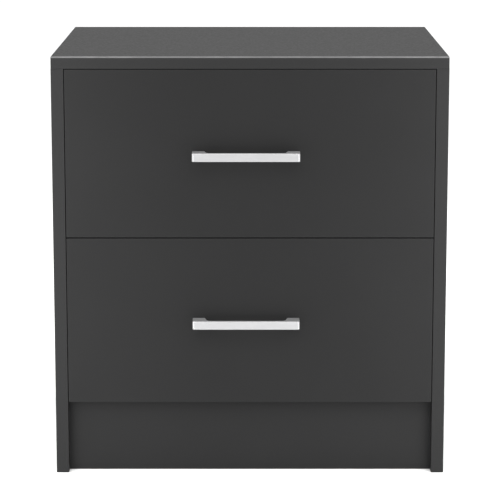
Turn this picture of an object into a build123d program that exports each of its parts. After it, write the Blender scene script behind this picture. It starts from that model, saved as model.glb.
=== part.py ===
"""Two-drawer nightstand: a board carcass on side panels that run to the floor,
two inset drawers on roller runners, and a bow handle on each drawer front.

Millimetres. +Z is up, the front faces -Y, and the origin is on the floor at the
centre of the overall box, handles included."""

from build123d import *

import os
from typing import NamedTuple

# Overall sizes
WIDTH = 500
HEIGHT = 540
DEPTH = 400
BOARD = 16
HANDLE_REACH = 22
FRONT_Y = -(DEPTH + HANDLE_REACH) / 2 + HANDLE_REACH
BACK_Y = FRONT_Y + DEPTH
SIDES = {-1: "left", 1: "right"}
FIT = 0.05

# Edging
TOP_BAND = 2
TOP_ARRIS = 1.6
UNDER_ARRIS = 0.4
PANEL_BAND = 0.8
BAND_ARRIS = 0.4

# Carcass
INNER_X = WIDTH / 2 - BOARD
SIDE_MID_X = WIDTH / 2 - BOARD / 2
SIDE_TOP_Z = HEIGHT - BOARD
PLINTH_SETBACK = 16
PLINTH_Y = FRONT_Y + PLINTH_SETBACK
BOTTOM_Z = 96
BOTTOM_TOP_Z = BOTTOM_Z + BOARD
BOTTOM_MID_Z = BOTTOM_Z + BOARD / 2
BACK_SHEET = 3
BACK_INSET_X = 1
BACK_LOW_Z = BOTTOM_Z + 1
BACK_HIGH_Z = SIDE_TOP_Z - 0.5

# Drawer fronts
FRONT_GAP_SIDE = 0.7
FRONT_GAP_TOP = 0.7
FRONT_GAP_MIDDLE = 1.2
FRONT_HALF_W = INNER_X - FRONT_GAP_SIDE
LOWER_FRONT_Z = BOTTOM_Z - 2
FRONT_H = (SIDE_TOP_Z - FRONT_GAP_TOP - LOWER_FRONT_Z - FRONT_GAP_MIDDLE) / 2
UPPER_FRONT_Z = LOWER_FRONT_Z + FRONT_H + FRONT_GAP_MIDDLE
FRONT_BACK_Y = FRONT_Y + BOARD

# Drawer boxes
BOX_HALF_W = 221.5
BOX_BOARD = 12
BOX_INNER_X = BOX_HALF_W - BOX_BOARD
BOX_MID_X = BOX_HALF_W - BOX_BOARD / 2
BOX_H = 140
BOX_L = 350
BOX_BACK_Y = FRONT_BACK_Y + BOX_L
BOX_RISE = 34
BOX_ROUND = 2
BOX_BOTTOM = 3
GROOVE_UP = 10
GROOVE_IN = 6

# Runners: sheet steel members and nylon rollers
STEEL = 1.2
BEND_R = 1
ROLLER_R = 8.5
ROLLER_W = 8
ROLLER_RIM = 1.8
ROLLER_DISH = 1.2
ROLLER_ARRIS = 0.8
ROLL_GAP = 0.3
AXLE_R = 2.5
AXLE_RUN = 0.08
AXLE_L = 10.8
AXLE_HEAD_R = 3.6
AXLE_HEAD = 0.8
AXLE_UP = ROLLER_R + ROLL_GAP
TRACK_DROP = 0.5
LEDGE_UP = 2 * AXLE_UP
LIP_UP = LEDGE_UP + STEEL + 0.5
RUNNER_FRONT_Y = FRONT_Y + 20
RUNNER_BACK_Y = RUNNER_FRONT_Y + 350
FRONT_AXLE_Y = RUNNER_FRONT_Y + 10
REAR_AXLE_Y = BOX_BACK_Y - 12
TRACK_FRONT_Y = RUNNER_FRONT_Y + 22
LIP_FRONT_Y = RUNNER_FRONT_Y + 4
WEB_IN_X = INNER_X - STEEL
TRACK_IN_X = 223.4
LIP_IN_X = 225.6
DRAWER_WEB_OUT_X = BOX_HALF_W + STEEL
LEDGE_OUT_X = 231.8
FRONT_ROLLER_X = 228.3
REAR_ROLLER_X = 227.2
SLIDE_TRAVEL = 260
STOP_H = 2.5
STOP_L = 4

# Handles
HANDLE_L = 136
HANDLE_CENTRES = 128
HANDLE_H = 10.5
HANDLE_STRIP = 5.5
HANDLE_FOOT = 15.6
HANDLE_SHOULDER = 19
HANDLE_CORNER_R = 2.5
HANDLE_INNER_R = 5
HANDLE_ARRIS = 0.8
HANDLE_BORE = 12
HANDLE_SHIFT_X = -5
HANDLE_DROP = 1.5
HANDLE_HOLE_X = [HANDLE_SHIFT_X + s * HANDLE_CENTRES / 2 for s in SIDES]
HANDLE_SCREW_R = 2
HANDLE_SCREW_L = BOARD + 10
HANDLE_SCREW_HEAD_R = 4
HANDLE_SCREW_HEAD = 2.4


class Cam(NamedTuple):
    """An eccentric cam; bolt_down is the bolt's depth below the cam's face."""

    radius: float
    deep: float
    bolt_down: float
    bolt_hole_r: float
    recess: float


class Screw(NamedTuple):
    """A countersunk screw, with the size of its cross recess."""

    head_r: float
    shank_r: float
    length: float
    recess: float


# Fittings
CARCASS_CAM = Cam(7.5, 12.5, BOARD / 2, 3.5, 4.5)
DRAWER_CAM = Cam(5, 9.5, BOX_BOARD / 2, 2.8, 3)
CAM_BACKSET = 24
BOLT_R = 3
BOLT_GRIP = 11
DRAWER_BOLT_R = 2.3
DRAWER_THREAD_R = 2
DOWEL_R = 4
DOWEL_LONG = 20
DOWEL_SHORT = 10
FLUTES = 8
FLUTE_R = 0.4
NAIL_L = 20
NAIL_R = 0.8
NAIL_HEAD_R = 2
NAIL_HEAD = 0.8
RUNNER_SCREW = Screw(3.4, 1.75, 13, 2)
BACK_SCREW = Screw(3.5, 1.75, 40, 1.8)
MEMBER_SCREW = Screw(2.8, 1.5, 9.5, 1.4)
SINK_ANGLE = 90
SINK_SPARE = 0.5

# Where the fittings go
FITTING_Y = (FRONT_Y + 60, BACK_Y - 60)
DOWEL_Y = (FRONT_Y + 92, BACK_Y - 92)
PLINTH_MID_Y = PLINTH_Y + BOARD / 2
PLINTH_CAM_Z = 62
PLINTH_DOWEL_Z = (26, 82)
NAIL_SIDE_Z = [140 + 60 * step for step in range(7)]
NAIL_BOTTOM_X = [-180 + 90 * step for step in range(5)]
RUNNER_SCREW_Y = [RUNNER_FRONT_Y + step for step in (37, 165, 293)]
MEMBER_SCREW_Y = [FRONT_BACK_Y + step for step in (60, 175, 280)]
MEMBER_SCREW_UP = 5.5
DRAWER_CAM_UP = (30, 110)
BACK_SCREW_UP = (30, 75, 120)

os.makedirs("parts", exist_ok=True)


def write(made, label):
    """Name a finished piece and write it to its own file."""
    made.part.label = label
    export_step(made.part, f"parts/{label}.step")


def block(x, y, z):
    """A board given by its limits on each axis; the limits may be in either order."""
    (x_low, x_high), (y_low, y_high), (z_low, z_high) = sorted(x), sorted(y), sorted(z)
    with BuildPart() as made:
        with BuildSketch(Plane.XY.offset(z_low)):
            with Locations(((x_low + x_high) / 2, (y_low + y_high) / 2)):
                Rectangle(x_high - x_low, y_high - y_low)
        extrude(amount=z_high - z_low)
    return made.part


def facing(x, y, z, direction):
    """A plane at a point whose normal is the way a fitting's mouth faces."""
    return Plane(origin=(x, y, z), z_dir=direction)


def rod(radius, low, high):
    """A round rod along local Z, from low to high."""
    with BuildPart() as made:
        with BuildSketch(Plane.XY.offset(low)):
            Circle(radius)
        extrude(amount=high - low)
    return made.part


def cross_recess(half, top, deep):
    """The cross that a driver fits, from local Z top down."""
    with BuildPart() as made:
        with BuildSketch(Plane.XY.offset(top)):
            Rectangle(2 * half, half / 2.5)
            Rectangle(half / 2.5, 2 * half)
        extrude(amount=-deep)
    return made.part


def cam_fitting(kind):
    """A cam with its face at local Z 0, the bolt entering along local Y."""
    with BuildPart() as made:
        add(rod(kind.radius, -kind.deep, 0))
        with BuildSketch(Plane.XZ.offset(-kind.radius)):
            with Locations((0, -kind.bolt_down)):
                Circle(kind.bolt_hole_r)
        extrude(amount=kind.radius + kind.bolt_hole_r, mode=Mode.SUBTRACT)
        add(cross_recess(kind.recess, 0, kind.recess / 2), mode=Mode.SUBTRACT)
    return made.part


def cam_bore(kind):
    """The blind bore that takes a cam."""
    return rod(kind.radius + FIT, -kind.deep - FIT, 0)


def carcass_bolt(grow):
    """A cam bolt along local Z: the cam takes its head at local -Z, and its
    thread goes into the other board at local +Z. Local Z 0 is the board joint."""
    tip = -CAM_BACKSET - grow
    thread_r = BOLT_R - 0.5 + grow
    with BuildPart() as made:
        with BuildSketch(Plane.XZ):
            with BuildLine():
                Polyline(
                    (0, tip),
                    (BOLT_R + grow, tip),
                    (BOLT_R + grow, tip + 3 + grow),
                    (BOLT_R - 1 + grow, tip + 4 + grow),
                    (BOLT_R - 1 + grow, tip + 9),
                    (BOLT_R + grow, tip + 10),
                    (BOLT_R + grow, 0),
                    (thread_r, 0),
                    (thread_r, BOLT_GRIP - 1),
                    (thread_r - 1, BOLT_GRIP + grow),
                    (0, BOLT_GRIP + grow),
                    close=True,
                )
            make_face()
        revolve(axis=Axis.Z)
    return made.part


def drawer_bolt(grow):
    """The drawer front's bolt: thread in the front at local +Z, head in the cam."""
    with BuildPart() as made:
        add(rod(DRAWER_BOLT_R + grow, -CAM_BACKSET - grow, 0))
        add(rod(DRAWER_THREAD_R + grow, 0, BOLT_GRIP + grow))
    return made.part


def dowel():
    """A fluted beech dowel along local Z. Local Z 0 is the board joint."""
    with BuildPart() as made:
        with BuildSketch(Plane.XY.offset(-DOWEL_LONG)):
            Circle(DOWEL_R)
            with PolarLocations(DOWEL_R, FLUTES):
                Circle(FLUTE_R, mode=Mode.SUBTRACT)
        extrude(amount=DOWEL_LONG + DOWEL_SHORT)
        for end in (0, -1):
            chamfer(made.faces().sort_by(Axis.Z)[end].outer_wire().edges(), 0.5)
    return made.part


def nail(grow):
    """A flat-headed nail along local -Z with its head set flush."""
    with BuildPart() as made:
        add(rod(NAIL_HEAD_R + grow, -NAIL_HEAD - grow, 0))
        add(rod(NAIL_R + grow, -NAIL_L - grow, -NAIL_HEAD))
    return made.part


def flat_screw(kind):
    """A countersunk screw along local -Z with its head flush at local Z 0."""
    with BuildPart() as made:
        with BuildSketch(Plane.XZ):
            with BuildLine():
                Polyline(
                    (0, 0),
                    (kind.head_r, 0),
                    (kind.shank_r, kind.shank_r - kind.head_r),
                    (kind.shank_r, 2 * kind.shank_r - kind.length),
                    (0, -kind.length),
                    close=True,
                )
            make_face()
        revolve(axis=Axis.Z)
        add(cross_recess(0.8 * kind.recess, 0, 0.7 * kind.recess), mode=Mode.SUBTRACT)
    return made.part


def axle():
    """A roller's rivet along local Z: its head first, then the shank."""
    with BuildPart() as made:
        add(rod(AXLE_HEAD_R, 0, AXLE_HEAD))
        add(rod(AXLE_R, AXLE_HEAD, AXLE_L))
    return made.part


def handle_screw():
    """The machine screw along local -Z, with its pan head above local Z 0."""
    with BuildPart() as made:
        add(rod(HANDLE_SCREW_HEAD_R, 0, HANDLE_SCREW_HEAD))
        fillet(made.edges().group_by(Axis.Z)[-1], 1)
        add(rod(HANDLE_SCREW_R, -HANDLE_SCREW_L, 0))
        recess = cross_recess(HANDLE_SCREW_HEAD_R / 2, HANDLE_SCREW_HEAD, HANDLE_SCREW_HEAD / 2)
        add(recess, mode=Mode.SUBTRACT)
    return made.part


def handle_bow():
    """The bow, drawn in plan and as deep as its strip is tall."""
    half = HANDLE_L / 2
    foot_x = half - HANDLE_FOOT
    shoulder_x = half - HANDLE_SHOULDER
    strip_back_y = HANDLE_STRIP - HANDLE_REACH
    with BuildPart() as made:
        with BuildSketch(Plane.XY.offset(-HANDLE_H / 2)) as outline:
            with BuildLine():
                Polyline(
                    (-half, 0),
                    (-half, -HANDLE_REACH),
                    (half, -HANDLE_REACH),
                    (half, 0),
                    (foot_x, 0),
                    (shoulder_x, strip_back_y),
                    (-shoulder_x, strip_back_y),
                    (-foot_x, 0),
                    close=True,
                )
            make_face()
            fillet(outline.vertices().group_by(Axis.Y)[0], HANDLE_CORNER_R)
            inner_corners = outline.vertices().filter_by(lambda v: abs(v.Y - strip_back_y) < FIT)
            fillet(inner_corners, HANDLE_INNER_R)
        extrude(amount=HANDLE_H)
        rims = made.edges().group_by(Axis.Z)
        arrises = (rims[0] + rims[-1]).filter_by(lambda edge: edge.center().Y < -1)
        fillet(arrises, HANDLE_ARRIS)
        with Locations(*[facing(s * HANDLE_CENTRES / 2, 0, 0, (0, 1, 0)) for s in SIDES]):
            Hole(HANDLE_SCREW_R + FIT, HANDLE_BORE)
    return made.part


def cut(fitting, places):
    """Cut a fitting's seat at each place in the board being built."""
    with Locations(*places):
        add(fitting, mode=Mode.SUBTRACT)


def sink(kind, places, depth):
    """Drill a screw's countersunk hole at each place in the piece being built."""
    with Locations(*places):
        CounterSinkHole(kind.shank_r + FIT, kind.head_r + FIT, depth, SINK_ANGLE)


def group(label, fitting, places):
    """Write one node that holds a fitting at each of its places."""
    with BuildPart() as made:
        with Locations(*places):
            add(fitting)
    write(made, label)


class Drawer:
    """One drawer's heights, and where its fittings go."""

    def __init__(self, name, front_z):
        self.name = name
        self.front_z = front_z
        self.box_z = front_z + BOX_RISE
        self.track_z = self.box_z - TRACK_DROP
        self.axle_z = self.track_z + AXLE_UP
        self.ledge_z = self.track_z + LEDGE_UP
        self.bottom_z = self.box_z + GROOVE_UP
        self.handle_z = front_z + FRONT_H / 2 - HANDLE_DROP
        self.bolts = [
            facing(s * BOX_MID_X, FRONT_BACK_Y, self.box_z + up, (0, -1, 0))
            for s in SIDES
            for up in DRAWER_CAM_UP
        ]
        self.cams = [
            Plane(
                (s * BOX_INNER_X, FRONT_BACK_Y + CAM_BACKSET, self.box_z + up),
                x_dir=(0, 0, -s),
                z_dir=(-s, 0, 0),
            )
            for s in SIDES
            for up in DRAWER_CAM_UP
        ]
        self.back_screws = [
            facing(s * BOX_HALF_W, BOX_BACK_Y - BOX_BOARD / 2, self.box_z + up, (s, 0, 0))
            for s in SIDES
            for up in BACK_SCREW_UP
        ]
        self.handle_holes = [facing(x, FRONT_BACK_Y, self.handle_z, (0, 1, 0)) for x in HANDLE_HOLE_X]

    def runner_screws(self, side):
        """Screws that hold the cabinet's member to one side panel."""
        return [facing(side * WEB_IN_X, y, self.axle_z, (-side, 0, 0)) for y in RUNNER_SCREW_Y]

    def member_screws(self, side):
        """Screws that hold the drawer's own member to one drawer side."""
        height = self.box_z + MEMBER_SCREW_UP
        return [facing(side * DRAWER_WEB_OUT_X, y, height, (side, 0, 0)) for y in MEMBER_SCREW_Y]


DRAWERS = [Drawer("lower", LOWER_FRONT_Z), Drawer("upper", UPPER_FRONT_Z)]

# Carcass fittings. A bolt's plane has its normal towards the board that takes the
# thread; a cam's plane has its face's normal and its X across the bolt.
top_bolts = [facing(s * SIDE_MID_X, y, SIDE_TOP_Z, (0, 0, 1)) for s in SIDES for y in FITTING_Y]
bottom_bolts = [facing(s * INNER_X, y, BOTTOM_MID_Z, (s, 0, 0)) for s in SIDES for y in FITTING_Y]
plinth_bolts = [facing(s * INNER_X, PLINTH_MID_Y, PLINTH_CAM_Z, (s, 0, 0)) for s in SIDES]
top_cams = [
    Plane((s * INNER_X, y, SIDE_TOP_Z - CAM_BACKSET), x_dir=(0, -s, 0), z_dir=(-s, 0, 0))
    for s in SIDES
    for y in FITTING_Y
]
bottom_cams = [
    Plane((s * (INNER_X - CAM_BACKSET), y, BOTTOM_Z), x_dir=(0, s, 0), z_dir=(0, 0, -1))
    for s in SIDES
    for y in FITTING_Y
]
plinth_cams = [
    Plane(
        (s * (INNER_X - CAM_BACKSET), PLINTH_Y + BOARD, PLINTH_CAM_Z),
        x_dir=(0, 0, s),
        z_dir=(0, 1, 0),
    )
    for s in SIDES
]
top_dowels = [facing(s * SIDE_MID_X, y, SIDE_TOP_Z, (0, 0, 1)) for s in SIDES for y in DOWEL_Y]
bottom_dowels = [facing(s * INNER_X, y, BOTTOM_MID_Z, (s, 0, 0)) for s in SIDES for y in DOWEL_Y]
plinth_dowels = [
    facing(s * INNER_X, PLINTH_MID_Y, z, (s, 0, 0)) for s in SIDES for z in PLINTH_DOWEL_Z
]
nail_points = [(s * SIDE_MID_X, z) for s in SIDES for z in NAIL_SIDE_Z]
nail_points += [(x, BOTTOM_MID_Z) for x in NAIL_BOTTOM_X]
nail_places = [facing(x, BACK_Y, z, (0, 1, 0)) for x, z in nail_points]

carcass_cam_bore = cam_bore(CARCASS_CAM)
carcass_bolt_bore = carcass_bolt(FIT)
dowel_bore = rod(DOWEL_R + FIT, -DOWEL_LONG - FIT, DOWEL_SHORT + FIT)
nail_bore = nail(FIT)
drawer_cam_bore = cam_bore(DRAWER_CAM)
drawer_bolt_bore = drawer_bolt(FIT)

# Top board, and its edging round the front and both ends
with BuildPart() as top_panel:
    add(
        block(
            (-WIDTH / 2 + TOP_BAND, WIDTH / 2 - TOP_BAND),
            (FRONT_Y + TOP_BAND, BACK_Y),
            (SIDE_TOP_Z, HEIGHT),
        )
    )
    cut(carcass_bolt_bore, top_bolts)
    cut(dowel_bore, top_dowels)
write(top_panel, "top_panel")


def outer_edges(face):
    """The edges of an edging's face that lie on the outside of the top board."""
    return face.edges().filter_by(
        lambda edge: abs(edge.center().X) > WIDTH / 2 - TOP_ARRIS / 2
        or edge.center().Y < FRONT_Y + TOP_ARRIS / 2
    )


with BuildPart() as top_edge_band:
    with BuildSketch(Plane.XY.offset(SIDE_TOP_Z)):
        with Locations((0, FRONT_Y + DEPTH / 2)):
            Rectangle(WIDTH, DEPTH)
        with Locations((0, FRONT_Y + TOP_BAND + DEPTH / 2)):
            Rectangle(WIDTH - 2 * TOP_BAND, DEPTH, mode=Mode.SUBTRACT)
    extrude(amount=BOARD)
    fillet(top_edge_band.edges().filter_by(Axis.Z).group_by(Axis.Y)[0], TOP_ARRIS)
    fillet(outer_edges(top_edge_band.faces().sort_by(Axis.Z)[-1]), TOP_ARRIS)
    fillet(outer_edges(top_edge_band.faces().sort_by(Axis.Z)[0]), UNDER_ARRIS)
write(top_edge_band, "top_edge_band")

# Side panels and their front edging
for side, side_name in SIDES.items():
    panel_x = (side * INNER_X, side * WIDTH / 2)
    with BuildPart() as side_panel:
        add(block(panel_x, (FRONT_Y + PANEL_BAND, BACK_Y - BACK_SHEET), (0, SIDE_TOP_Z)))
        cut(carcass_cam_bore, top_cams)
        cut(carcass_bolt_bore, top_bolts + bottom_bolts + plinth_bolts)
        cut(dowel_bore, top_dowels + bottom_dowels + plinth_dowels)
        cut(nail_bore, nail_places)
        for drawer in DRAWERS:
            sink(RUNNER_SCREW, drawer.runner_screws(side), RUNNER_SCREW.length + SINK_SPARE)
    write(side_panel, f"{side_name}_side_panel")

    with BuildPart() as side_edge_band:
        add(block(panel_x, (FRONT_Y, FRONT_Y + PANEL_BAND), (0, SIDE_TOP_Z)))
        fillet(side_edge_band.faces().sort_by(Axis.Y)[0].edges().filter_by(Axis.Z), BAND_ARRIS)
    write(side_edge_band, f"{side_name}_side_edge_band")

# Bottom board behind the lower drawer's front, its edging, and the plinth under it
with BuildPart() as bottom_panel:
    add(
        block(
            (-INNER_X, INNER_X),
            (PLINTH_Y + PANEL_BAND, BACK_Y - BACK_SHEET),
            (BOTTOM_Z, BOTTOM_TOP_Z),
        )
    )
    cut(carcass_cam_bore, bottom_cams)
    cut(carcass_bolt_bore, bottom_bolts)
    cut(dowel_bore, bottom_dowels)
    cut(nail_bore, nail_places)
write(bottom_panel, "bottom_panel")

with BuildPart() as bottom_edge_band:
    add(block((-INNER_X, INNER_X), (PLINTH_Y, PLINTH_Y + PANEL_BAND), (BOTTOM_Z, BOTTOM_TOP_Z)))
    fillet(bottom_edge_band.edges().filter_by(Axis.X).group_by(Axis.Y)[0], BAND_ARRIS)
write(bottom_edge_band, "bottom_edge_band")

with BuildPart() as plinth_board:
    add(block((-INNER_X, INNER_X), (PLINTH_Y, PLINTH_Y + BOARD), (0, BOTTOM_Z)))
    cut(carcass_cam_bore, plinth_cams)
    cut(carcass_bolt_bore, plinth_bolts)
    cut(dowel_bore, plinth_dowels)
write(plinth_board, "plinth_board")

# Back sheet
with BuildPart() as back_panel:
    add(
        block(
            (-WIDTH / 2 + BACK_INSET_X, WIDTH / 2 - BACK_INSET_X),
            (BACK_Y - BACK_SHEET, BACK_Y),
            (BACK_LOW_Z, BACK_HIGH_Z),
        )
    )
    cut(nail_bore, nail_places)
write(back_panel, "back_panel")

# Carcass fittings
group("carcass_cams", cam_fitting(CARCASS_CAM), top_cams + bottom_cams + plinth_cams)
group("carcass_bolts", carcass_bolt(0), top_bolts + bottom_bolts + plinth_bolts)
group("carcass_dowels", dowel(), top_dowels + bottom_dowels + plinth_dowels)
group("back_nails", nail(0), nail_places)
group(
    "cabinet_runner_screws",
    flat_screw(RUNNER_SCREW),
    [place for side in SIDES for drawer in DRAWERS for place in drawer.runner_screws(side)],
)
group(
    "cabinet_roller_axles",
    axle(),
    [
        facing(side * (INNER_X - AXLE_L), FRONT_AXLE_Y, drawer.axle_z, (side, 0, 0))
        for side in SIDES
        for drawer in DRAWERS
    ],
)

# The raised stop stands this far before the axle of the rear roller that meets it
STOP_BELOW_AXLE = AXLE_UP - STOP_H
STOP_REACH = (ROLLER_R**2 - STOP_BELOW_AXLE**2) ** 0.5 + ROLL_GAP
STOP_Y = REAR_AXLE_Y - SLIDE_TRAVEL - STOP_REACH


def cabinet_runner(drawer, side):
    """A C-shaped track screwed to a side panel, with a raised stop that the drawer's
    rear roller meets at full travel."""
    track_z = drawer.track_z
    lip_z = track_z + LIP_UP
    panel_x = side * INNER_X
    with BuildPart() as made:
        add(
            block(
                (side * WEB_IN_X, panel_x),
                (RUNNER_FRONT_Y, RUNNER_BACK_Y),
                (track_z - STEEL, lip_z + STEEL),
            )
        )
        add(
            block(
                (side * TRACK_IN_X, panel_x),
                (TRACK_FRONT_Y, RUNNER_BACK_Y),
                (track_z - STEEL, track_z),
            )
        )
        add(block((side * LIP_IN_X, panel_x), (LIP_FRONT_Y, RUNNER_BACK_Y), (lip_z, lip_z + STEEL)))
        add(block((side * TRACK_IN_X, panel_x), (STOP_Y - STOP_L, STOP_Y), (track_z, track_z + STOP_H)))
        outer_bends = made.edges().filter_by(Axis.Y)
        outer_bends = outer_bends.filter_by(lambda edge: abs(edge.center().X - panel_x) < FIT)
        fillet(outer_bends, BEND_R)
        with Locations(facing(side * WEB_IN_X, FRONT_AXLE_Y, drawer.axle_z, (-side, 0, 0))):
            Hole(AXLE_R + FIT, 2 * STEEL)
        sink(RUNNER_SCREW, drawer.runner_screws(side), 2 * STEEL)
    return made


def drawer_runner(drawer, side):
    """A web on the drawer side, wrapped under it, with a ledge standing outwards that
    rides on the cabinet's roller."""
    ledge_z = drawer.ledge_z
    outside_x = side * DRAWER_WEB_OUT_X
    box_y = (FRONT_BACK_Y, BOX_BACK_Y)
    with BuildPart() as made:
        add(block((side * BOX_HALF_W, outside_x), box_y, (drawer.box_z - STEEL, ledge_z + STEEL)))
        add(block((side * BOX_INNER_X, outside_x), box_y, (drawer.box_z - STEEL, drawer.box_z)))
        add(block((side * BOX_HALF_W, side * LEDGE_OUT_X), box_y, (ledge_z, ledge_z + STEEL)))
        with Locations(facing(outside_x, REAR_AXLE_Y, drawer.axle_z, (side, 0, 0))):
            Hole(AXLE_R + FIT, 2 * STEEL)
        sink(MEMBER_SCREW, drawer.member_screws(side), 2 * STEEL)
    return made


def roller(drawer, side, mid_x, axle_y):
    """A nylon roller with a dished ring in each face."""
    near_x = mid_x - ROLLER_W / 2
    far_x = mid_x + ROLLER_W / 2 - ROLLER_DISH
    with BuildPart() as made:
        with BuildSketch(facing(side * near_x, axle_y, drawer.axle_z, (side, 0, 0))):
            Circle(ROLLER_R)
            Circle(AXLE_R + AXLE_RUN, mode=Mode.SUBTRACT)
        extrude(amount=ROLLER_W)
        for dish_x in (near_x, far_x):
            with BuildSketch(facing(side * dish_x, axle_y, drawer.axle_z, (side, 0, 0))):
                Circle(ROLLER_R - ROLLER_RIM)
                Circle(AXLE_R + ROLLER_RIM, mode=Mode.SUBTRACT)
            extrude(amount=ROLLER_DISH, mode=Mode.SUBTRACT)
        rims = made.edges().filter_by(GeomType.CIRCLE).sort_by(SortBy.RADIUS)[-2:]
        fillet(rims, ROLLER_ARRIS)
    return made


for drawer in DRAWERS:
    for side, side_name in SIDES.items():
        place = f"{drawer.name}_{side_name}"
        write(cabinet_runner(drawer, side), f"{place}_cabinet_runner")
        write(drawer_runner(drawer, side), f"{place}_drawer_runner")
        write(roller(drawer, side, FRONT_ROLLER_X, FRONT_AXLE_Y), f"{place}_front_roller")
        write(roller(drawer, side, REAR_ROLLER_X, REAR_AXLE_Y), f"{place}_rear_roller")

# Drawers
BOTTOM_HALF_W = BOX_INNER_X + GROOVE_IN
BOTTOM_FRONT_Y = FRONT_BACK_Y - GROOVE_IN
BOTTOM_BACK_Y = BOX_BACK_Y - BOX_BOARD + GROOVE_IN


def bottom_sheet(drawer, grow):
    """The drawer's bottom, or with grow the groove that holds it all round."""
    return block(
        (-BOTTOM_HALF_W - grow, BOTTOM_HALF_W + grow),
        (BOTTOM_FRONT_Y - grow, BOTTOM_BACK_Y + grow),
        (drawer.bottom_z - grow, drawer.bottom_z + BOX_BOTTOM + grow),
    )


def drawer_front(drawer):
    """The front board inside its edging, with the handle's holes right through."""
    half_w = FRONT_HALF_W - PANEL_BAND
    with BuildPart() as made:
        add(
            block(
                (-half_w, half_w),
                (FRONT_Y, FRONT_BACK_Y),
                (drawer.front_z + PANEL_BAND, drawer.front_z + FRONT_H - PANEL_BAND),
            )
        )
        cut(drawer_bolt_bore, drawer.bolts)
        add(bottom_sheet(drawer, FIT), mode=Mode.SUBTRACT)
        with Locations(*drawer.handle_holes):
            Hole(HANDLE_SCREW_R + FIT, 2 * BOARD)
    return made


def front_edge_band(drawer):
    """The edging round all four edges of a drawer front."""
    with BuildPart() as made:
        with BuildSketch(Plane.XZ.offset(-FRONT_BACK_Y)):
            with Locations((0, drawer.front_z + FRONT_H / 2)):
                Rectangle(2 * FRONT_HALF_W, FRONT_H)
                Rectangle(
                    2 * (FRONT_HALF_W - PANEL_BAND),
                    FRONT_H - 2 * PANEL_BAND,
                    mode=Mode.SUBTRACT,
                )
        extrude(amount=BOARD)
        fillet(made.faces().sort_by(Axis.Y)[0].outer_wire().edges(), BAND_ARRIS)
    return made


def drawer_side(drawer, side):
    """One side of the drawer box, grooved for the bottom, its top edges rounded."""
    with BuildPart() as made:
        add(
            block(
                (side * BOX_INNER_X, side * BOX_HALF_W),
                (FRONT_BACK_Y, BOX_BACK_Y),
                (drawer.box_z, drawer.box_z + BOX_H),
            )
        )
        fillet(made.faces().sort_by(Axis.Z)[-1].edges().filter_by(Axis.Y), BOX_ROUND)
        cut(drawer_cam_bore, drawer.cams)
        cut(drawer_bolt_bore, drawer.bolts)
        add(bottom_sheet(drawer, FIT), mode=Mode.SUBTRACT)
        sink(BACK_SCREW, drawer.back_screws, BOX_BOARD + 1)
        sink(MEMBER_SCREW, drawer.member_screws(side), MEMBER_SCREW.length + FIT)
    return made


def drawer_back(drawer):
    """The back of the drawer box, between its sides."""
    with BuildPart() as made:
        add(
            block(
                (-BOX_INNER_X, BOX_INNER_X),
                (BOX_BACK_Y - BOX_BOARD, BOX_BACK_Y),
                (drawer.box_z, drawer.box_z + BOX_H),
            )
        )
        fillet(made.faces().sort_by(Axis.Z)[-1].edges().filter_by(Axis.X), BOX_ROUND)
        add(bottom_sheet(drawer, FIT), mode=Mode.SUBTRACT)
        sink(BACK_SCREW, drawer.back_screws, BACK_SCREW.length + SINK_SPARE)
    return made


for drawer in DRAWERS:
    name = drawer.name
    write(drawer_front(drawer), f"{name}_drawer_front")
    write(front_edge_band(drawer), f"{name}_front_edge_band")
    for side, side_name in SIDES.items():
        write(drawer_side(drawer, side), f"{name}_drawer_{side_name}_side")
    write(drawer_back(drawer), f"{name}_drawer_back")

    with BuildPart() as box_bottom:
        add(bottom_sheet(drawer, 0))
    write(box_bottom, f"{name}_drawer_bottom")

    group(f"{name}_drawer_cams", cam_fitting(DRAWER_CAM), drawer.cams)
    group(f"{name}_drawer_bolts", drawer_bolt(0), drawer.bolts)
    group(f"{name}_drawer_back_screws", flat_screw(BACK_SCREW), drawer.back_screws)
    group(
        f"{name}_drawer_runner_screws",
        flat_screw(MEMBER_SCREW),
        [place for side in SIDES for place in drawer.member_screws(side)],
    )
    group(
        f"{name}_drawer_roller_axles",
        axle(),
        [facing(s * (BOX_HALF_W + AXLE_L), REAR_AXLE_Y, drawer.axle_z, (-s, 0, 0)) for s in SIDES],
    )
    group(f"{name}_handle", handle_bow(), [Location((HANDLE_SHIFT_X, FRONT_Y, drawer.handle_z))])
    group(f"{name}_handle_screws", handle_screw(), drawer.handle_holes)
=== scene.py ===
"""Two-drawer nightstand in anthracite melamine: camera, studio and materials over
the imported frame. Metres, +Z up, the drawers face -Y."""

import math

import bmesh
import bpy
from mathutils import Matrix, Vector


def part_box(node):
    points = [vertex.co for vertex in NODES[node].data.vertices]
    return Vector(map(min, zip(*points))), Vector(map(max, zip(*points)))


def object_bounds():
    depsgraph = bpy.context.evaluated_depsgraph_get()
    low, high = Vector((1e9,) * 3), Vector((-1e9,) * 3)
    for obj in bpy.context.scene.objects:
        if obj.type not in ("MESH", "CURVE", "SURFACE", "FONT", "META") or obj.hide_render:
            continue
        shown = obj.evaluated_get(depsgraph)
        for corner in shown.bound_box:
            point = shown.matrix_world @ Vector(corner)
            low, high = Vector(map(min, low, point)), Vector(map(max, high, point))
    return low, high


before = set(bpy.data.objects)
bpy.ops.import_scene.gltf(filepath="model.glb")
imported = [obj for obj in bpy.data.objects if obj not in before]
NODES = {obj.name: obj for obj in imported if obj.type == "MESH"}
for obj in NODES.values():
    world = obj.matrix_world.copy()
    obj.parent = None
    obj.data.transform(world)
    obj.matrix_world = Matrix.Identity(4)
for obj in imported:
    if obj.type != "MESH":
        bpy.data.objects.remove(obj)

cad_low, cad_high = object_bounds()
DRAWERS = ("upper", "lower")
HANDS = ("left", "right")

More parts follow.
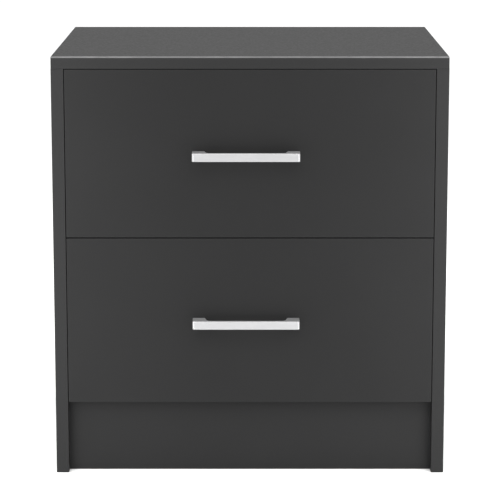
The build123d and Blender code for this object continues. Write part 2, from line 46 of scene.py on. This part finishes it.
# Camera: CAMERA_AHEAD is counted from the drawer fronts; pitch in degrees, lens in mm
CAMERA_X = 0.0
CAMERA_AHEAD = 2.79
CAMERA_HEIGHT = 0.834
CAMERA_PITCH = 10.33
CAMERA_LENS = 161.0
CAMERA_SHIFT = -0.05
CAMERA_CLIP_END = 60.0

# Backdrop, and the wide sun that lights the top, with its angles in degrees
WORLD_STRENGTH = 0.42
BACKDROP_STRENGTH = 1.05
SKY_STRENGTH = 2.75
SKY_ANGLE = 80.0
SKY_TILT = 26.0

# Softboxes: place, aim, width and height, power in watts. The two side ones are given
# for the right, and each has a mirrored twin
TOP_LIGHT = ((0.0, -0.35, 1.9), (0.0, -0.05, 0.5), (1.6, 1.4), 6.0)
SIDE_LIGHT = ((0.46, -0.56, 0.42), (0.345, 0.0, 0.36), (0.3, 0.8), 3.0)
SIDE_FILL = ((2.2, 0.5, 0.9), (0.0, 0.1, 0.25), (1.6, 1.2), 36.0)

# Floor: the drop keeps it off the undersides of the side panels
FLOOR_HALF = 12.0
FLOOR_DROP = 0.0002

# Colours, linear. FOIL, HDF_GREY and EPOXY stand for lighter ones, which would burn out
# in the light that makes the floor white
ANTHRACITE = (0.0146, 0.0146, 0.0147)
ANTHRACITE_BAND = (0.0205, 0.0205, 0.0206)
# Painted light: the plinth board is drawn 10 % lighter than the same melamine elsewhere, to
# lift its shaded recess
PLINTH_PAINTED_LIGHT = 1.10
# Painted highlight: the pale colour drawn along the front arris of the top edging, in place of
# the light it catches
ARRIS_HIGHLIGHT = (0.14, 0.14, 0.141)
FOIL = (0.28, 0.28, 0.273)
HDF_BROWN = (0.23, 0.135, 0.072)
HDF_GREY = (0.36, 0.36, 0.351)
CHIP_LIGHT = (0.46, 0.33, 0.19)
CHIP_DARK = (0.20, 0.125, 0.065)
SATIN_CHROME = (0.47, 0.47, 0.475)
EPOXY = (0.34, 0.34, 0.33)
NYLON = (0.76, 0.75, 0.70)
BEECH = (0.58, 0.38, 0.21)
ZINC = (0.58, 0.59, 0.61)
FLOOR_DARK = (0.92, 0.92, 0.92)
FLOOR_LIGHT = (0.94, 0.94, 0.94)

# Depths under the top face where the painted highlight along the front arris of its edging
# begins and is full
HIGHLIGHT_START = 0.0023
HIGHLIGHT_FULL = 0.0019

# Nearly all values of a noise texture lie between these
NOISE_RANGE = (0.3, 0.7)


def dimmed(colour, factor):
    return tuple(channel * factor for channel in colour)


class Material:
    """A node material with its shader, and short ways to add the nodes it needs."""

    def __init__(self, name, specular=0.5, metallic=0.0):
        self.made = bpy.data.materials.new(name)
        self.made.use_nodes = True
        self.nodes = self.made.node_tree.nodes
        self.links = self.made.node_tree.links
        self.shader = self.nodes["Principled BSDF"]
        self.shader.inputs["Specular IOR Level"].default_value = specular
        self.shader.inputs["Metallic"].default_value = metallic
        coordinates = self.nodes.new("ShaderNodeTexCoord")
        self.place = coordinates.outputs["Object"]
        self.facing = coordinates.outputs["Normal"]

    def feed(self, socket, value):
        """Set the socket to a number or a colour, or link it to a node's output."""
        if isinstance(value, bpy.types.NodeSocket):
            self.links.new(value, socket)
        elif isinstance(value, tuple):
            socket.default_value = (*value, 1.0)
        else:
            socket.default_value = value

    def axis(self, vector, letter):
        """One component of the piece's coordinates or of its surface normal."""
        node = self.nodes.new("ShaderNodeSeparateXYZ")
        self.links.new(vector, node.inputs["Vector"])
        return node.outputs[letter]

    def mapped(self, stretch):
        """The piece's own coordinates, multiplied along each axis."""
        node = self.nodes.new("ShaderNodeMapping")
        node.inputs["Scale"].default_value = stretch
        self.links.new(self.place, node.inputs["Vector"])
        return node.outputs["Vector"]

    def noise(self, scale, detail=3.0, stretch=(1, 1, 1), rough=0.55):
        node = self.nodes.new("ShaderNodeTexNoise")
        node.inputs["Scale"].default_value = scale
        node.inputs["Detail"].default_value = detail
        node.inputs["Roughness"].default_value = rough
        self.links.new(self.mapped(stretch), node.inputs["Vector"])
        return node.outputs["Fac"]

    def cells(self, scale, stretch):
        """The distance from the middles of scattered cells."""
        node = self.nodes.new("ShaderNodeTexVoronoi")
        node.inputs["Scale"].default_value = scale
        self.links.new(self.mapped(stretch), node.inputs["Vector"])
        return node.outputs["Distance"]

    def math(self, operation, first, second=0.0):
        node = self.nodes.new("ShaderNodeMath")
        node.operation = operation
        self.feed(node.inputs[0], first)
        self.feed(node.inputs[1], second)
        return node.outputs["Value"]

    def spread(self, value, between, to=(0.0, 1.0)):
        """What of value lies between two numbers, mapped smoothly to another two."""
        node = self.nodes.new("ShaderNodeMapRange")
        node.interpolation_type = "SMOOTHSTEP"
        ends = ("From Min", "From Max", "To Min", "To Max")
        for socket, number in zip(ends, (*between, *to)):
            node.inputs[socket].default_value = number
        self.links.new(value, node.inputs["Value"])
        return node.outputs["Result"]

    def mix(self, factor, first, second):
        """A colour that goes from first to second as factor goes from 0 to 1."""
        node = self.nodes.new("ShaderNodeMix")
        node.data_type = "RGBA"
        self.links.new(factor, node.inputs["Factor"])
        ends = [socket for socket in node.inputs if socket.type == "RGBA"]
        self.feed(ends[0], first)
        self.feed(ends[1], second)
        return next(socket for socket in node.outputs if socket.type == "RGBA")

    def toned(self, value, colour, factors, between=NOISE_RANGE):
        """The colour times the first factor to the second, as value crosses between."""
        first, second = [dimmed(colour, factor) for factor in factors]
        return self.mix(self.spread(value, between), first, second)

    def colour(self, value):
        self.feed(self.shader.inputs["Base Color"], value)

    def roughness(self, value):
        self.feed(self.shader.inputs["Roughness"], value)

    def bump(self, height, depth, strength):
        node = self.nodes.new("ShaderNodeBump")
        node.inputs["Distance"].default_value = depth
        node.inputs["Strength"].default_value = strength
        self.links.new(height, node.inputs["Height"])
        self.links.new(node.outputs["Normal"], self.shader.inputs["Normal"])


def chipboard(paint):
    """The colour of a raw particleboard edge: fine light and dark chips."""
    chips = paint.cells(420.0, (1, 1, 1.6))
    grain = paint.noise(260.0, 5.0, (1, 1, 2.5), 0.7)
    mixed = paint.math("MULTIPLY", chips, grain)
    return paint.mix(paint.spread(mixed, (0.06, 0.34)), CHIP_DARK, CHIP_LIGHT)


def melamine(name, face_axis, specular=0.12, painted_light=1.0):
    """Pearl-grained anthracite melamine on the two faces across face_axis and on edges
    that face up, and raw particleboard on the other cut edges."""
    paint = Material(name, specular)
    # A painted_light above 1 draws the whole board lighter than its own colour, as painted
    # light
    base = dimmed(ANTHRACITE, painted_light)
    clouded = paint.toned(paint.noise(9.0, 2.0), base, (0.97, 1.03))
    specks = paint.spread(paint.noise(2100.0, 2.0), (0.52, 0.72), (0.0, 0.55))
    speckled = paint.mix(specks, clouded, dimmed(base, 1.45))
    across = paint.math("ABSOLUTE", paint.axis(paint.facing, face_axis))
    covered = paint.math("MAXIMUM", across, paint.axis(paint.facing, "Z"))
    face = paint.spread(covered, (0.55, 0.75))
    paint.colour(paint.mix(face, chipboard(paint), speckled))
    paint.roughness(paint.spread(paint.noise(340.0), NOISE_RANGE, (0.40, 0.52)))
    coarse = paint.math("MULTIPLY", paint.noise(420.0, 2.0), 0.3)
    pearl = paint.math("ADD", paint.noise(1500.0, 2.0), coarse)
    paint.bump(pearl, 0.00005, 0.55)
    return paint.made


def edging(name, arris_z=None):
    """Anthracite edging, with painted shade that darkens its rounded arrises. Where arris_z is
    given, a painted highlight, a pale line with faint streaks, runs along the front, just under
    that height."""
    paint = Material(name, 0.10)
    plain = paint.toned(paint.noise(900.0), ANTHRACITE_BAND, (0.94, 1.08))
    x, y, z = [paint.math("ABSOLUTE", paint.axis(paint.facing, letter)) for letter in "XYZ"]
    flattest = paint.math("MAXIMUM", paint.math("MAXIMUM", x, y), z)
    # Painted shade: the rounded arrises, where the normal leaves the axes, are drawn darker
    # than the band's own colour
    arris_shade_mask = paint.spread(flattest, (0.94, 0.99), (1.0, 0.0))
    with_painted_light = paint.mix(arris_shade_mask, plain, dimmed(ANTHRACITE_BAND, 0.45))
    if arris_z:
        heights = (arris_z - HIGHLIGHT_START, arris_z - HIGHLIGHT_FULL)
        high = paint.spread(paint.axis(paint.place, "Z"), heights)
        # Painted highlight: the pale line is kept to the front-facing part of the arris, where
        # the front light would catch it
        front_lit = paint.spread(paint.axis(paint.facing, "Y"), (-0.35, -0.10), (1.0, 0.0))
        line = paint.math("MULTIPLY", high, front_lit)
        streaks = paint.spread(paint.noise(60.0, 4.0), (0.25, 0.75), (0.75, 1.0))
        with_painted_light = paint.mix(paint.math("MULTIPLY", line, streaks), with_painted_light, ARRIS_HIGHLIGHT)
    paint.colour(with_painted_light)
    paint.roughness(paint.spread(paint.noise(500.0, 2.0), NOISE_RANGE, (0.42, 0.52)))
    paint.bump(paint.noise(1800.0, 2.0), 0.00004, 0.4)
    return paint.made


def foil_board(name, end_axis):
    """Light grey foil with a faint woven print, and raw cut ends across end_axis."""
    paint = Material(name, 0.35)
    warp = paint.noise(150.0, 2.0, (9, 0.6, 9), 0.4)
    weft = paint.noise(150.0, 2.0, (0.6, 9, 0.6), 0.4)
    threads = paint.math("ADD", warp, weft)
    printed = paint.toned(threads, FOIL, (0.95, 1.04), (0.75, 1.25))
    across = paint.math("ABSOLUTE", paint.axis(paint.facing, end_axis))
    ends = paint.spread(across, (0.8, 0.95))
    paint.colour(paint.mix(ends, printed, chipboard(paint)))
    paint.roughness(paint.spread(threads, (0.7, 1.3), (0.50, 0.42)))
    paint.bump(threads, 0.00001, 0.3)
    return paint.made


def hardboard(name, axis, raw_sign):
    """Thin hardboard: brown and felted on the side that faces raw_sign along the axis,
    light grey lacquer on the other."""
    paint = Material(name, 0.3)
    felt = paint.noise(240.0, 6.0, rough=0.7)
    fibres = paint.noise(70.0, 4.0, (9, 1, 1), 0.6)
    matted = paint.math("ADD", felt, paint.math("MULTIPLY", fibres, 0.6))
    brown = paint.toned(matted, HDF_BROWN, (0.72, 1.25), (0.55, 1.05))
    grey = paint.toned(paint.noise(160.0), HDF_GREY, (0.97, 1.02))
    away = paint.math("MULTIPLY", paint.axis(paint.facing, axis), -raw_sign)
    paint.colour(paint.mix(paint.spread(away, (0.4, 0.6)), brown, grey))
    paint.roughness(paint.spread(away, (0.4, 0.6), (0.78, 0.42)))
    paint.bump(matted, 0.00012, 0.5)
    return paint.made


def satin_chrome(name):
    """Satin chrome with a fine grain drawn along the bow."""
    paint = Material(name, 0.6, metallic=0.75)
    grain = paint.noise(1400.0, 3.0, (0.03, 1, 1), 0.6)
    paint.colour(paint.toned(grain, SATIN_CHROME, (0.98, 1.02)))
    paint.roughness(paint.spread(grain, NOISE_RANGE, (0.39, 0.46)))
    paint.bump(grain, 0.00001, 0.2)
    return paint.made


def powder_coat(name):
    """White epoxy on the runners, with darker scuffs drawn out along them."""
    paint = Material(name, 0.45)
    orange_peel = paint.noise(650.0, 2.0)
    scuffs = paint.noise(38.0, 5.0, (6, 0.35, 6), 0.65)
    paint.colour(paint.toned(scuffs, EPOXY, (1.0, 0.72), (0.52, 0.75)))
    paint.roughness(paint.spread(scuffs, (0.4, 0.75), (0.38, 0.55)))
    paint.bump(orange_peel, 0.00008, 0.4)
    return paint.made


def moulded_nylon(name):
    """Off-white nylon with darker, duller marks."""
    paint = Material(name, 0.4)
    marks = paint.noise(420.0, 4.0)
    paint.colour(paint.toned(marks, NYLON, (1.0, 0.78), (0.4, 0.75)))
    paint.roughness(paint.spread(marks, NOISE_RANGE, (0.34, 0.5)))
    paint.bump(marks, 0.00005, 0.4)
    return paint.made


def beech(name):
    """Beech dowels with a fine streaky grain."""
    paint = Material(name, 0.3)
    grain = paint.noise(320.0, 4.0, (1, 1, 0.2), 0.6)
    paint.colour(paint.toned(grain, BEECH, (0.75, 1.1), (0.35, 0.65)))
    paint.roughness(paint.spread(grain, NOISE_RANGE, (0.5, 0.7)))
    paint.bump(grain, 0.00010, 0.5)
    return paint.made


def zinc(name):
    """Bright zinc plating with a faint mottle."""
    paint = Material(name, metallic=1.0)
    mottle = paint.noise(700.0, 4.0)
    paint.colour(paint.toned(mottle, ZINC, (0.82, 1.12)))
    paint.roughness(paint.spread(mottle, NOISE_RANGE, (0.28, 0.46)))
    paint.bump(mottle, 0.00004, 0.4)
    return paint.made


def give(material, *names):
    """Put the material on each CAD node."""
    for name in names:
        node = NODES[name]
        node.data.materials.clear()
        node.data.materials.append(material)


give(melamine("melamine_sides", "X"), *[f"{hand}_side_panel" for hand in HANDS])
give(melamine("melamine_top", "Z", specular=0.53), "top_panel")
give(melamine("melamine_bottom", "Z"), "bottom_panel")
give(melamine("melamine_plinth_lightened", "Y", painted_light=PLINTH_PAINTED_LIGHT), "plinth_board")
give(melamine("melamine_fronts", "Y"), *[f"{drawer}_drawer_front" for drawer in DRAWERS])
give(edging("edging_top_highlighted", cad_high.z), "top_edge_band")
give(
    edging("edging_shaded_arrises"),
    "bottom_edge_band",
    *[f"{hand}_side_edge_band" for hand in HANDS],
    *[f"{drawer}_front_edge_band" for drawer in DRAWERS],
)
give(
    foil_board("drawer_side_foil", "Y"),
    *[f"{drawer}_drawer_{hand}_side" for drawer in DRAWERS for hand in HANDS],
)
give(foil_board("drawer_back_foil", "X"), *[f"{drawer}_drawer_back" for drawer in DRAWERS])
give(hardboard("back_hardboard", "Y", 1), "back_panel")
give(hardboard("bottom_hardboard", "Z", -1), *[f"{drawer}_drawer_bottom" for drawer in DRAWERS])
give(satin_chrome("handle_chrome"), *[f"{drawer}_handle" for drawer in DRAWERS])
give(
    powder_coat("runner_epoxy"),
    *[
        f"{drawer}_{hand}_{place}_runner"
        for drawer in DRAWERS
        for hand in HANDS
        for place in ("cabinet", "drawer")
    ],
)
give(
    moulded_nylon("roller_nylon"),
    *[
        f"{drawer}_{hand}_{place}_roller"
        for drawer in DRAWERS
        for hand in HANDS
        for place in ("front", "rear")
    ],
)
give(beech("dowel_beech"), "carcass_dowels")
give(
    zinc("zinc_fittings"),
    "carcass_cams",
    "carcass_bolts",
    "back_nails",
    "cabinet_runner_screws",
    "cabinet_roller_axles",
    *[
        f"{drawer}_{part}"
        for drawer in DRAWERS
        for part in (
            "drawer_cams",
            "drawer_bolts",
            "drawer_back_screws",
            "drawer_runner_screws",
            "drawer_roller_axles",
            "handle_screws",
        )
    ],
)


def add(name, data):
    """A new object in the scene."""
    made = bpy.data.objects.new(name, data)
    bpy.context.scene.collection.objects.link(made)
    return made


# Floor
floor_mesh = bpy.data.meshes.new("floor")
shape = bmesh.new()
corners = [
    shape.verts.new((x * FLOOR_HALF, y * FLOOR_HALF, cad_low.z - FLOOR_DROP))
    for x, y in ((-1, -1), (1, -1), (1, 1), (-1, 1))
]
shape.faces.new(corners)
shape.to_mesh(floor_mesh)
shape.free()
floor = add("floor", floor_mesh)
floor_paint = Material("floor_pale", 0.1)
floor_paint.colour(floor_paint.mix(floor_paint.noise(1.5, 2.0), FLOOR_DARK, FLOOR_LIGHT))
floor_paint.roughness(0.9)
floor_mesh.materials.append(floor_paint.made)

# Backdrop: white where it is seen directly, and softer as a light
world = bpy.data.worlds.new("studio")
world.use_nodes = True
world_nodes = world.node_tree.nodes
background = world_nodes["Background"]
background.inputs["Color"].default_value = (1.0, 1.0, 1.0, 1.0)
strength = world_nodes.new("ShaderNodeMapRange")
strength.inputs["To Min"].default_value = WORLD_STRENGTH
strength.inputs["To Max"].default_value = BACKDROP_STRENGTH
path = world_nodes.new("ShaderNodeLightPath")
world.node_tree.links.new(path.outputs["Is Camera Ray"], strength.inputs["Value"])
world.node_tree.links.new(strength.outputs["Result"], background.inputs["Strength"])
bpy.context.scene.world = world

# Lights
sky = bpy.data.lights.new("sky_panel", "SUN")
sky.energy = SKY_STRENGTH
sky.angle = math.radians(SKY_ANGLE)
add("sky_panel", sky).rotation_euler = (math.radians(SKY_TILT), 0.0, 0.0)


def softbox(name, place, aim, size, power, side=1):
    """A rectangular area light at place, facing aim, or with side -1 its mirror image."""
    light = bpy.data.lights.new(name, "AREA")
    light.shape = "RECTANGLE"
    light.size, light.size_y = size
    light.energy = power
    place = (place[0] * side, *place[1:])
    aim = (aim[0] * side, *aim[1:])
    x, y, z = [end - start for start, end in zip(place, aim)]
    turn = math.atan2(y, x) - math.pi / 2
    fall = math.atan2(math.hypot(x, y), -z)
    made = add(name, light)
    made.location = place
    made.rotation_euler = (fall, 0.0, turn)
    made.visible_camera = False


softbox("top_softbox", *TOP_LIGHT)
for hand, side in zip(HANDS, (-1, 1)):
    softbox(f"{hand}_softbox", *SIDE_LIGHT, side)
    softbox(f"{hand}_fill", *SIDE_FILL, side)

# Camera
camera_data = bpy.data.cameras.new("camera")
camera_data.lens = CAMERA_LENS
camera_data.shift_y = CAMERA_SHIFT
camera_data.clip_end = CAMERA_CLIP_END
camera = add("camera", camera_data)
front_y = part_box("upper_drawer_front")[0].y
camera.location = (CAMERA_X, front_y - CAMERA_AHEAD, CAMERA_HEIGHT)
camera.rotation_euler = (math.radians(90.0 - CAMERA_PITCH), 0.0, 0.0)
bpy.context.scene.camera = camera
bpy.context.scene.view_settings.view_transform = "Standard"
